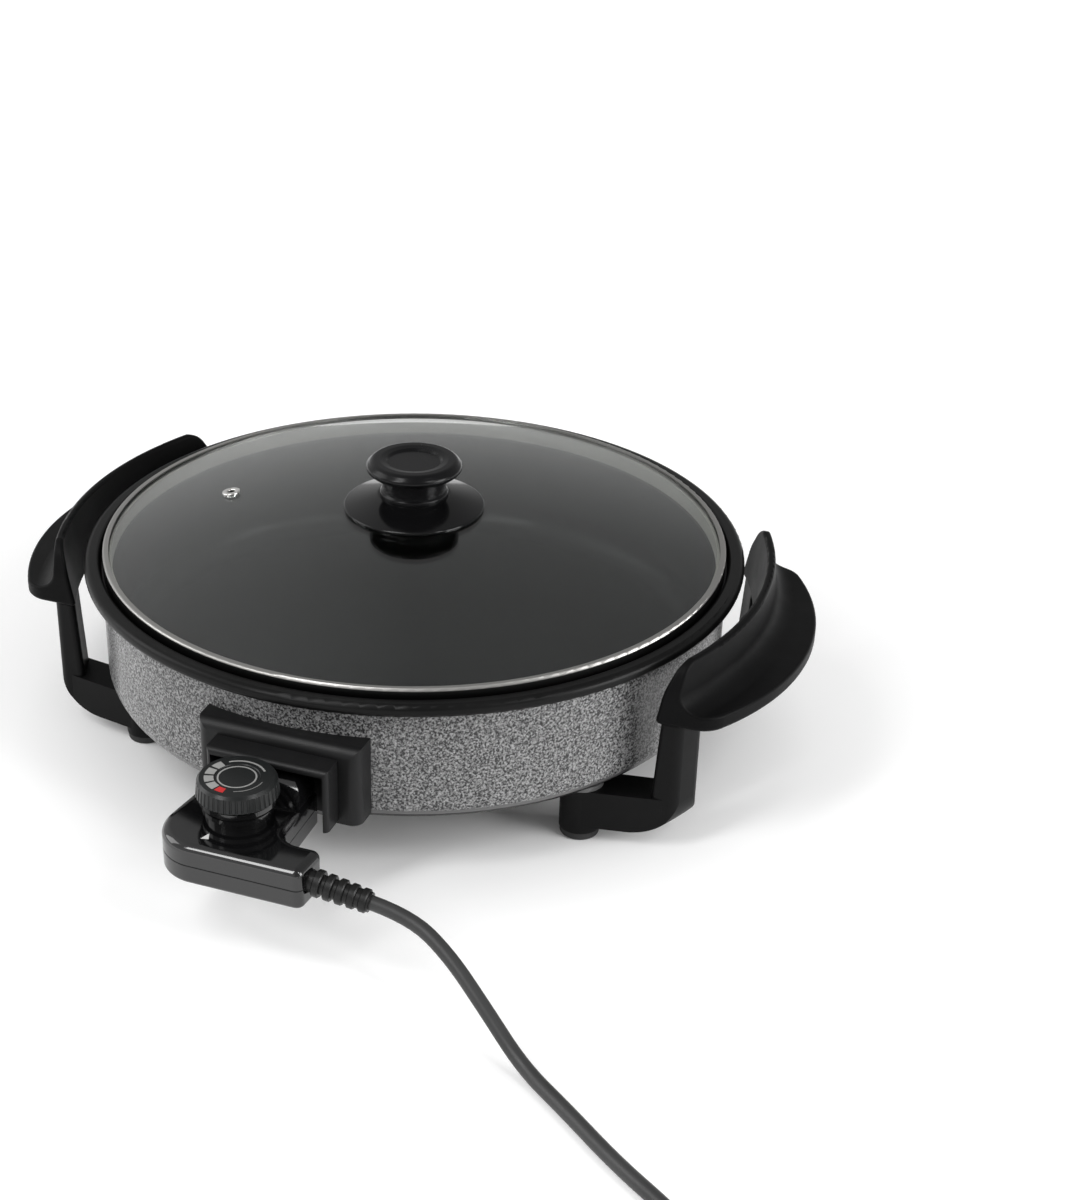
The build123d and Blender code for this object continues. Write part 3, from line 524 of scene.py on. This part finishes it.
# %% Gloss plastic
GLOSS_TONES = ((0.003, 0.003, 0.0033), (0.005, 0.005, 0.0053))
GLOSS_PEBBLE, GLOSS_RELIEF = 1200.0, 0.015
SEAM_HEIGHT, SEAM_HALF = 0.0534, 0.0004
skirt_black = plastic_finish(
    "skirt_gloss", GLOSS_TONES, (0.12, 0.08), GLOSS_PEBBLE, GLOSS_RELIEF, specular=0.27)
control_black = plastic_finish(
    "control_gloss", GLOSS_TONES, (0.11, 0.07), GLOSS_PEBBLE, GLOSS_RELIEF, specular=0.75)
tree, shader, control_height = opened(control_black)
above_seam = math_node(tree, "SUBTRACT", control_height, SEAM_HEIGHT)
seam = math_node(tree, "LESS_THAN", math_node(tree, "ABSOLUTE", above_seam), SEAM_HALF)
shell_gloss = shader.inputs["Roughness"].links[0].from_socket
tree.links.new(math_node(tree, "MAXIMUM", shell_gloss, seam), shader.inputs["Roughness"])
dress(skirt_black, "knob_skirt")
dress(control_black, "control_upper", "control_lower")
print("gloss on the skirt and the control, with a seam at", SEAM_HEIGHT, "m")

# %% Dial, blocks, tie and rubbers
# Each row: dark and light tone, matt and shiny roughness, pebble, relief and, if not 0.5, specular.
SMALL_FINISHES = {
    "dial_satin": (
        ((0.008, 0.009, 0.009), (0.011, 0.012, 0.012)), (0.36, 0.28), 2400.0, 0.08, 0.3),
    "block_phenolic": (
        ((0.03, 0.026, 0.023), (0.04, 0.035, 0.03)), (0.55, 0.45), 1800.0, 0.2),
    "tie_black": (
        ((0.02, 0.02, 0.02), (0.03, 0.03, 0.03)), (0.5, 0.42), 1500.0, 0.15),
    "cord_rubber": (
        ((0.022, 0.022, 0.022), (0.034, 0.034, 0.034)), (0.5, 0.4), 1600.0, 0.1),
    "sleeve_rubber": (
        ((0.005, 0.005, 0.005), (0.008, 0.008, 0.008)), (0.42, 0.34), 1600.0, 0.1, 0.3),
    "foot_rubber": (
        ((0.015, 0.015, 0.015), (0.026, 0.026, 0.026)), (0.75, 0.62), 1400.0, 0.25),
}
small = {name: plastic_finish(name, *values) for name, values in SMALL_FINISHES.items()}
dress(small["dial_satin"], "dial_knob", "dial_spindle")
dress(small["block_phenolic"], "contact_block", "thermostat_body")
dress(small["tie_black"], "coil_tie")
dress(small["sleeve_rubber"], "strain_relief")
dress(small["cord_rubber"], "plug_body")
dress(small["foot_rubber"], "foot_pad_1", "foot_pad_2", "foot_pad_3", "foot_pad_4",
      "knob_washer")
cord_curve.materials.append(small["cord_rubber"])
print("small finishes", sorted(small))

# %% [markdown]
# ## Metals
# The lid's band is polished steel, drawn round in a rolling tool, so it has fine lines along the
# ring. Below its crown the outer flank is painted dark, a painted reflection of the black lip, so
# only a thin bright line shows above the lip. Its collar inside the pan is left as it was pressed,
# dull and pale, with painted shadow along its lower edge.
# All of it is one ring, so radius and height choose between these, as on the pan.
# The vent eyelet, the screws, the contacts and the heater's sheath are small plain metals with a
# change of polish.

# %% Tones of the lid's band
BAND_TONE, BAND_ROUGHNESS = (0.74, 0.73, 0.71), 0.3
COLLAR_OUTSIDE = 0.1843
COLLAR_EDGE = (0.1066, 0.1078)
COLLAR_EDGE_SHADOW, COLLAR_PALE = (0.05, 0.05, 0.047), (0.84, 0.81, 0.74)
FLANK_INSIDE = 0.1872
CROWN_LOW, CROWN_FADE = 0.1213, 0.0007
CROWN_TONE, FLANK_REFLECTION_TONE = (0.41, 0.404, 0.39), (0.03, 0.03, 0.03)
band_steel, tree, shader, place = new_finish(
    "band_steel", BAND_TONE, BAND_ROUGHNESS, metallic=1.0)
band_axes = axes_of(tree, place)
band_radius, band_height = radius_of(tree, band_axes), band_axes[2]
collar = math_node(tree, "LESS_THAN", band_radius, COLLAR_OUTSIDE)
# The outer flank below the crown is painted dark: painted reflection of the black lip.
flank = all_of(
    tree,
    math_node(tree, "GREATER_THAN", band_radius, FLANK_INSIDE),
    ranged(tree, band_height, CROWN_LOW, CROWN_LOW - CROWN_FADE),
)
crown_and_flank_reflection_color = blended(tree, flank, CROWN_TONE, FLANK_REFLECTION_TONE)
# The collar's lower edge is painted dark: painted shadow along the collar's lower edge.
collar_rise = ranged(tree, band_height, *COLLAR_EDGE)
collar_tone_and_shadow = blended(tree, collar_rise, COLLAR_EDGE_SHADOW, COLLAR_PALE)
band_color = blended(tree, collar, crown_and_flank_reflection_color, collar_tone_and_shadow)
tree.links.new(band_color, shader.inputs["Base Color"])
print("band toned with", len(tree.nodes), "nodes")

# %% Polish of the lid's band
LINE_SPAN, LINE_GLOSS = (0.3, 0.7), (0.34, 0.46)
LINE_RELIEF, LINE_DEPTH = 0.05, 0.0001
COLLAR_DULLER, COLLAR_METAL = 0.2, 0.2
band_lines = add_node(tree, "ShaderNodeGroup", node_tree=lines_group)
tree.links.new(math_node(tree, "ADD", band_radius, band_height), band_lines.inputs["Radius"])
band_line = band_lines.outputs["Line"]
line_gloss = ranged(tree, band_line, *LINE_SPAN, *LINE_GLOSS)
duller = math_node(tree, "MULTIPLY", collar, COLLAR_DULLER)
tree.links.new(math_node(tree, "ADD", line_gloss, duller), shader.inputs["Roughness"])
tree.links.new(ranged(tree, collar, 0, 1, 1.0, COLLAR_METAL), shader.inputs["Metallic"])
bumped(tree, shader, band_line, LINE_RELIEF, LINE_DEPTH)
dress(band_steel, "lid_rim")
print("band polished with", len(tree.nodes), "nodes")


# %% Small metals
def metal_finish(name, color, gloss):
    """Plain metal whose roughness changes a little."""
    material, tree, shader, place = new_finish(name, color, gloss[0], metallic=1.0)
    height, smear = grained(tree, place, METAL_GRAIN, METAL_SMUDGE)
    tree.links.new(ranged(tree, smear, 0, 1, *gloss), shader.inputs["Roughness"])
    bumped(tree, shader, height, METAL_RELIEF, METAL_DEPTH)
    return material


METAL_GRAIN, METAL_SMUDGE = 900.0, 120.0
METAL_RELIEF, METAL_DEPTH = 0.06, 0.0001
eyelet_steel = metal_finish("eyelet_steel", (0.78, 0.77, 0.75), gloss=(0.14, 0.24))
zinc_screws = metal_finish("zinc_screws", (0.56, 0.56, 0.55), gloss=(0.28, 0.42))
nickel = metal_finish("nickel_contacts", (0.71, 0.69, 0.64), gloss=(0.18, 0.3))
heater_sheath = metal_finish("heater_sheath", (0.42, 0.41, 0.40), gloss=(0.35, 0.5))
dress(eyelet_steel, "steam_vent")
dress(zinc_screws, "handle_screws", "shroud_screws", "control_screws", "knob_screw")
dress(nickel, "terminal_pin_right", "terminal_pin_left", "earth_blade",
      "contact_sleeve_right", "contact_sleeve_left", "plug_pins", "plug_earth")
dress(heater_sheath, "heating_element", "sensor_stem")
print("small metals on the eyelet, the screws, the contacts and the heater")

# %% [markdown]
# ## Glass lid
# Tempered glass a few millimetres thick, clear with a faint grey green in its depth.
# Alpha would only fade it, so the shader transmits light and bends it, as real glass does.
# The black inside of the pan shows through, and the room's reflection lies over that, stronger
# towards the back. A slow change of roughness stands for wiped glass.

# %% Clear the glass
GLASS_TONE, GLASS_ROUGHNESS = (0.80, 0.83, 0.82), 0.02
GLASS_IOR = 1.48
WIPE_PEBBLE, WIPE_SMUDGE = 60.0, 14.0
WIPE_GLOSS = (0.015, 0.035)
lid_clear, tree, shader, place = new_finish("lid_glass", GLASS_TONE, GLASS_ROUGHNESS)
shader.inputs["Transmission Weight"].default_value = 1.0
shader.inputs["IOR"].default_value = GLASS_IOR
_, wiped = grained(tree, place, WIPE_PEBBLE, WIPE_SMUDGE)
tree.links.new(ranged(tree, wiped, 0, 1, *WIPE_GLOSS), shader.inputs["Roughness"])
dress(lid_clear, "lid_glass")
print("materials", len(bpy.data.materials))

# %% [markdown]
# ## Printed dial
# Pale heat marks are printed round the dial: blocks that count up, a thin sweep, a ring in the
# middle and a red stop. They could be painted by the dial's material, but their sharp edges would
# need many masks, so each is a flat shape a tenth of a millimetre thick, spun from a short upright
# face about the dial's axis.


# %% Spin a printed mark
def flat_piece(name, mesh_builder, material, body):
    """New object from a bmesh, riding on a body."""
    mesh = bpy.data.meshes.new(name)
    shape = bmesh.new()
    mesh_builder(shape)
    bmesh.ops.remove_doubles(shape, verts=shape.verts, dist=MERGE_DISTANCE)
    bmesh.ops.recalc_face_normals(shape, faces=shape.faces)
    shape.to_mesh(mesh)
    shape.free()
    mesh.materials.append(material)
    piece = add_object(name, mesh)
    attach(piece, body)
    print(name, len(mesh.polygons), "faces")


def spun_block(shape, radii, angles_deg, steps, low):
    """Block between two radii and two angles, made by spinning a small upright face."""
    inner, outer = radii
    start_deg, end_deg = angles_deg
    high = low + PRINT_THICK
    corners = [(inner, low), (outer, low), (outer, high), (inner, high)]
    start = Matrix.Rotation(math.radians(start_deg), 3, "Z")
    verts = [shape.verts.new(DIAL_AXIS + start @ Vector((r, 0, z))) for r, z in corners]
    face = shape.faces.new(verts)
    full = abs(end_deg - start_deg) >= 360
    spun = bmesh.ops.spin(
        shape, geom=[face, *face.edges, *verts], cent=DIAL_AXIS, axis=(0, 0, 1), steps=steps,
        angle=math.radians(end_deg - start_deg), use_merge=full, use_duplicate=False,
    )
    if full:
        last_faces = [f for f in spun["geom_last"] if isinstance(f, bmesh.types.BMFace)]
        bmesh.ops.delete(shape, geom=last_faces, context="FACES_ONLY")


DIAL_AXIS = Vector((-0.0039, -0.24, 0))
DIAL_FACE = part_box("dial_knob")[1][2]
PRINT_THICK = 0.0001
MERGE_DISTANCE = 1e-7
print("dial's face at", round(DIAL_FACE, 4), "m")

# %% Inks
INK = {"gloss": (0.5, 0.42), "pebble_scale": 1500.0, "relief": 0.05}
ink_grey = plastic_finish("dial_print_grey", ((0.24, 0.24, 0.235), (0.31, 0.31, 0.30)), **INK)
ink_red = plastic_finish("dial_print_red", ((0.42, 0.012, 0.014), (0.52, 0.02, 0.02)), **INK)
ink_white = plastic_finish("pointer_print", ((0.55, 0.55, 0.54), (0.66, 0.66, 0.65)), **INK)
print("inks", ink_grey.name, ink_red.name, ink_white.name)

# %% Print the dial
# Each mark: its two radii, its start and end in degrees, and the steps of its spin.
SWEEP = ((0.0145, 0.0156), (40.0, 132.0), 24)
HAIRLINE = ((0.0147, 0.0150), (289.0, 359.0), 18)
OFF_MARK = ((0.0130, 0.0172), (252.0, 270.0), 6)
RING = ((0.0098, 0.0107), (0, 360), 64)
RING_DEPTH = 0.0005
BAR_RADII, BAR_SPIN_STEPS = (0.0124, 0.0175), 6
BAR_COUNT = 4
BAR_START_DEG, BAR_STEP_DEG, BAR_WIDE_DEG = 226.5, -27.0, 21.0


def build_bars(shape):
    """Blocks that count up the heat."""
    for index in range(BAR_COUNT):
        start = BAR_START_DEG + index * BAR_STEP_DEG
        spun_block(shape, BAR_RADII, (start, start + BAR_WIDE_DEG), BAR_SPIN_STEPS, DIAL_FACE)


def build_sweep(shape):
    """Thin sweep on the far side, and a hairline on the near one."""
    spun_block(shape, *SWEEP, DIAL_FACE)
    spun_block(shape, *HAIRLINE, DIAL_FACE)


def build_off_mark(shape):
    """Red block at the off stop."""
    spun_block(shape, *OFF_MARK, DIAL_FACE)


def build_ring(shape):
    """Ring in the shallow hollow in the middle of the dial."""
    spun_block(shape, *RING, DIAL_FACE - RING_DEPTH)


flat_piece("dial_heat_bars", build_bars, ink_grey, "dial")
flat_piece("dial_sweep", build_sweep, ink_grey, "dial")
flat_piece("dial_off_mark", build_off_mark, ink_red, "dial")
flat_piece("dial_ring", build_ring, ink_grey, "dial")

# %% [markdown]
# ## Pointer on the control
# A small white triangle on the housing points at the dial's mark.
# A text glyph would bring a font with it, so it is one flat face, extruded by the thickness of
# the print.

# %% Print the pointer
HOUSING_TOP = 0.0655
POINTER_CORNERS = ((-0.0119, -0.2693), (-0.0076, -0.2682), (-0.0096, -0.2632))


def build_pointer(shape):
    """Thin triangle on the housing."""
    base = shape.faces.new([shape.verts.new((x, y, HOUSING_TOP)) for x, y in POINTER_CORNERS])
    raised = bmesh.ops.extrude_face_region(shape, geom=[base])
    top = [v for v in raised["geom"] if isinstance(v, bmesh.types.BMVert)]
    bmesh.ops.translate(shape, verts=top, vec=(0, 0, PRINT_THICK))


flat_piece("dial_pointer", build_pointer, ink_white, "control")

# %% [markdown]
# ## Floor
# The pan stands on a white sweep. More light would burn the pan's own colours, so instead the
# floor glows a little for the camera and for reflections, and more so further out. It then reads
# as white, while the shadow stays. Close to the pan the glow fades out, which paints shade on
# the floor under the pan.

# %% Paint of the floor
FLOOR_TONE, FLOOR_ROUGHNESS = (0.86, 0.86, 0.86), 0.85
FLOOR_SPECULAR = 0.1
# Two distances from the middle of the pan, and the glow at each of them.
# Close to the pan the glow fades out, which paints shade on the floor under the pan.
NEAR_GLOW = (0.15, 0.25, 0.0, 0.22)
FAR_GLOW = (0.35, 1.2, 0.0, 0.63)
floor_paint, tree, shader, place = new_finish("white_sweep", FLOOR_TONE, FLOOR_ROUGHNESS)
shader.inputs["Specular IOR Level"].default_value = FLOOR_SPECULAR
shader.inputs["Emission Color"].default_value = (1, 1, 1, 1)
ray = add_node(tree, "ShaderNodeLightPath").outputs
mirrored = math_node(tree, "MAXIMUM", ray["Is Glossy Ray"], ray["Is Transmission Ray"])
seen = math_node(tree, "MAXIMUM", ray["Is Camera Ray"], mirrored)
reach = radius_of(tree, axes_of(tree, place))
glow = math_node(tree, "ADD", ranged(tree, reach, *NEAR_GLOW), ranged(tree, reach, *FAR_GLOW))
tree.links.new(math_node(tree, "MULTIPLY", seen, glow), shader.inputs["Emission Strength"])
print("floor's paint", len(tree.nodes), "nodes")

# %% Lay the floor
FLOOR_HALF = 14.0
floor_mesh = bpy.data.meshes.new("floor")
floor_shape = bmesh.new()
bmesh.ops.create_grid(floor_shape, x_segments=1, y_segments=1, size=FLOOR_HALF)
floor_shape.to_mesh(floor_mesh)
floor_shape.free()
floor_mesh.materials.append(floor_paint)
floor = add_object("floor", floor_mesh)
print("floor", 2 * FLOOR_HALF, "m across")

# %% [markdown]
# ## Room
# A picture of a studio could light the pan, but a few plain tones are enough: white for the
# camera, an even fill for the surfaces, and for reflections a pale horizon, a darker ceiling and a
# bright wall on the left, which the glass and the gloss plastic show.

# %% Tone the room
AMBIENT = 0.48
LEFT_WAY = (-0.927, -0.375, 0)
# How far up or left a ray goes, from and to, and the brightness at each.
CEILING = (0.03, 0.42, 0.50, 0.34)
LEFT_WALL = (0.0, 0.45, 0.0, 0.36)
world = bpy.data.worlds.new("studio")
world.use_nodes = True
scene.world = world
tree = world.node_tree
tree.nodes.clear()
way = add_node(tree, "ShaderNodeTexCoord").outputs["Generated"]
leftward = add_node(tree, "ShaderNodeVectorMath", operation="DOT_PRODUCT")
tree.links.new(way, leftward.inputs[0])
leftward.inputs[1].default_value = LEFT_WAY
ceiling = ranged(tree, axes_of(tree, way)[2], *CEILING)
left_wall = ranged(tree, leftward.outputs["Value"], *LEFT_WALL)
room = math_node(tree, "ADD", ceiling, left_wall)
print("room toned with", len(tree.nodes), "nodes")

# %% Light of the room
ray = add_node(tree, "ShaderNodeLightPath").outputs
mirrored = math_node(tree, "MAXIMUM", ray["Is Glossy Ray"], ray["Is Transmission Ray"])
reflection = math_node(tree, "MULTIPLY", mirrored, room)
fill = math_node(tree, "MULTIPLY", math_node(tree, "SUBTRACT", 1.0, mirrored), AMBIENT)
lit = math_node(tree, "ADD", reflection, fill)
strength = math_node(tree, "MAXIMUM", ray["Is Camera Ray"], lit)
background = add_node(tree, "ShaderNodeBackground", in_Color=(1, 1, 1, 1))
tree.links.new(strength, background.inputs["Strength"])
world_out = add_node(tree, "ShaderNodeOutputWorld")
tree.links.new(background.outputs[0], world_out.inputs["Surface"])
print("room lit with", len(tree.nodes), "nodes")

# %% [markdown]
# ## Lamps
# Four softboxes at a plain level. The key stands high at the front left and draws the streak along
# the control's edge. The two sides shape the hammered wall, and a small one high on the right
# picks out the knob and the band. Spot lamps would give hard shadows, so all four are area lamps.


# %% Hang the lamps
def softbox(name, place, target, size, watts):
    """Area lamp aimed at a point."""
    lamp_data = bpy.data.lights.new(name, "AREA")
    lamp_data.shape = "RECTANGLE"
    lamp_data.size, lamp_data.size_y = size
    lamp_data.energy = watts
    lamp = add_object(name, lamp_data)
    lamp.location = place
    lamp.rotation_euler = (Vector(target) - Vector(place)).to_track_quat("-Z", "Y").to_euler()
    print("lamp", name, watts, "W")


softbox("key", place=(-0.45, -0.98, 1.2), target=(0, -0.15, 0.05), size=(0.3, 0.9), watts=8.5)
softbox("left_side", place=(-1.7, -0.4, 1.0), target=(0, 0, 0.08), size=(1.0, 1.3), watts=11)
softbox("right_side", place=(1.9, -0.12, 0.66), target=(0, 0, 0.08), size=(0.9, 1.0), watts=24)
softbox("right_high", place=(1.1, -0.5, 1.25), target=(0, 0, 0.1), size=(0.25, 0.5), watts=4)
scene.view_settings.view_transform = "Standard"
